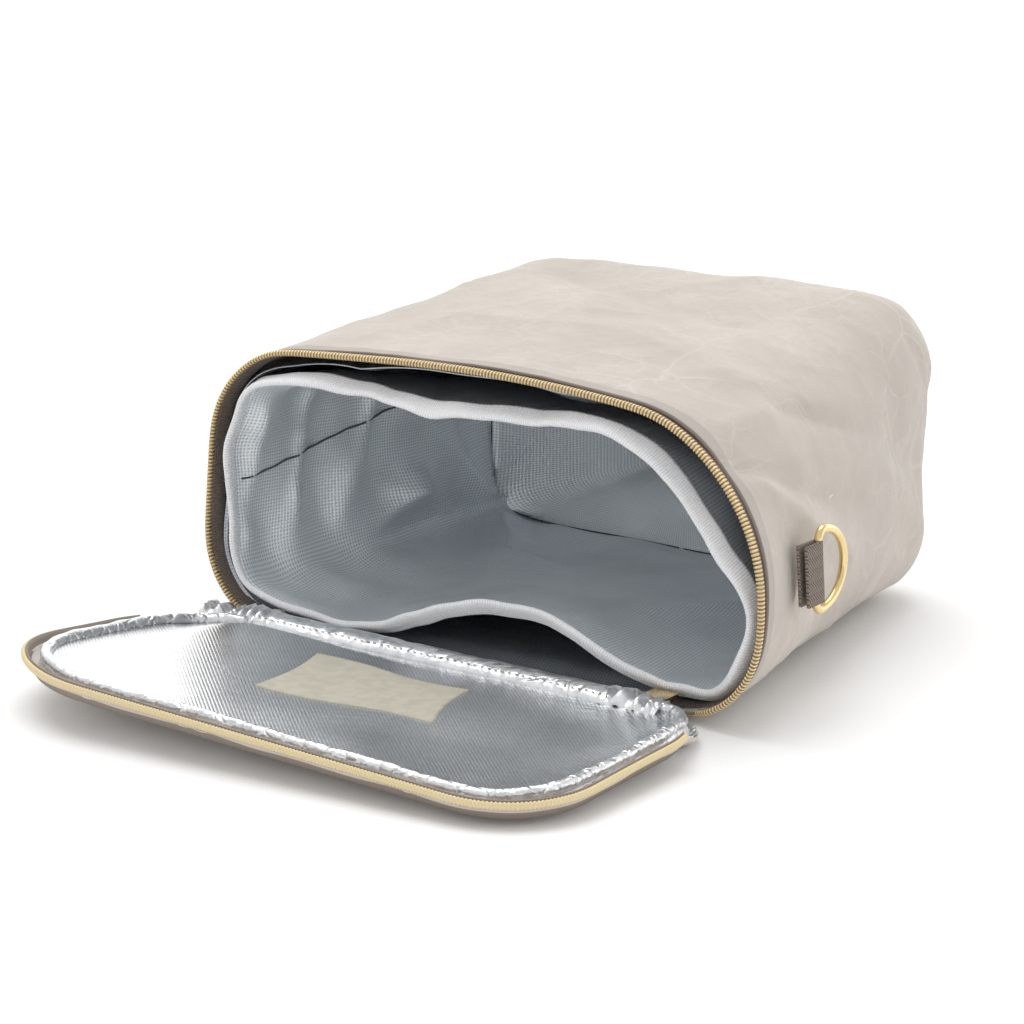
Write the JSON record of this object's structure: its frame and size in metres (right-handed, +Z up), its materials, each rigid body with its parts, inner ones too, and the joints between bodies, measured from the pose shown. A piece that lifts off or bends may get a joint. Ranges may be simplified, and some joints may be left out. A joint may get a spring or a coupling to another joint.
{
  "type": "insulated cooler bag",
  "caption": "Soft insulated cooler bag lying on its back with the padded lid folded open, a loose foil liner in the mouth, a coil zip round the lid and rim, and strap rings at the sides.",
  "frame": {"origin": "middle of the bag's box on the ground it lies on", "axes": "+X across the bag to its right as seen from the mouth's side with the bag on its back, +Y from the mouth to the base, +Z up from the back panel to the front panel"},
  "size_m": [0.2464, 0.3326, 0.1172],
  "materials": {
    "washed_linen": "washed, matt, plain weave",
    "foam_sheet": "closed cell foam sheet",
    "foil_lining": "silver foil bonded to a fine woven scrim",
    "liner_foil": "silver foil bonded to a fine woven scrim",
    "zip_tape_cloth": "woven tape",
    "gold_coil": "metallised nylon coil",
    "white_binding": "woven binding tape",
    "taupe_webbing": "herringbone webbing",
    "cream_label": "woven label, blank",
    "gold_metal": "polished"
  },
  "bodies": {
    "case": {"case_cloth_back": "washed_linen", "case_cloth_base": "washed_linen", "case_cloth_front": "washed_linen", "case_cloth_left": "washed_linen", "case_cloth_right": "washed_linen", "case_foam_back": "foam_sheet", "case_foam_base": "foam_sheet", "case_foam_front": "foam_sheet", "case_foam_left": "foam_sheet", "case_foam_right": "foam_sheet", "case_lining_base": "foil_lining", "case_lining_walls": "foil_lining", "case_zip_coil": "gold_coil", "case_zip_tape": "zip_tape_cloth", "hinge_binding": "foil_lining", "hinge_cloth": "washed_linen", "hinge_lining": "foil_lining", "webbing_left": "taupe_webbing", "webbing_right": "taupe_webbing"},
    "lid": {"lid_cloth": "washed_linen", "lid_foam": "foam_sheet", "lid_gusset": "washed_linen", "lid_label": "cream_label", "lid_lining": "foil_lining", "lid_piping": "foil_lining", "lid_zip_coil": "gold_coil", "lid_zip_tape": "zip_tape_cloth"},
    "liner": {"liner_back": "liner_foil", "liner_base": "liner_foil", "liner_binding": "white_binding", "liner_front": "liner_foil", "liner_left": "liner_foil", "liner_right": "liner_foil"},
    "ring_left": {"ring_left": "gold_metal"},
    "ring_right": {"ring_right": "gold_metal"},
    "zip_slider": {"zip_slider": "gold_metal"},
    "zip_pull": {"zip_pull": "gold_metal"}
  },
  "joints": [
    {"name": "lid_hinge", "type": "hinge", "parent": "case", "child": "lid", "pos_m": [0, -0.05575, 0.0005], "axis": [-1, 0, 0], "range_deg": [0, 90]},
    {"name": "liner_pull_out", "type": "slide", "parent": "case", "child": "liner", "axis": [0, 0.9969, -0.0785], "range_m": [-0.19, 0]},
    {"name": "ring_right_swing", "type": "hinge", "parent": "case", "child": "ring_right", "pos_m": [0.11908, 0.00164, 0.05], "axis": [0, 0, -1], "range_deg": [-12, 160]},
    {"name": "ring_left_swing", "type": "hinge", "parent": "case", "child": "ring_left", "pos_m": [-0.11908, 0.00164, 0.05], "axis": [0, 0, 1], "range_deg": [-12, 160]},
    {"name": "slider_round_corner", "type": "hinge", "parent": "case", "child": "zip_slider", "pos_m": [0.082, -0.03955, 0.043], "axis": [0, 1, 0], "range_deg": [-90, 0]},
    {"name": "pull_swing", "type": "hinge", "parent": "zip_slider", "child": "zip_pull", "pos_m": [0.082, -0.03955, 0.00325], "axis": [0, -1, 0], "range_deg": [0, 170]}
  ]
}
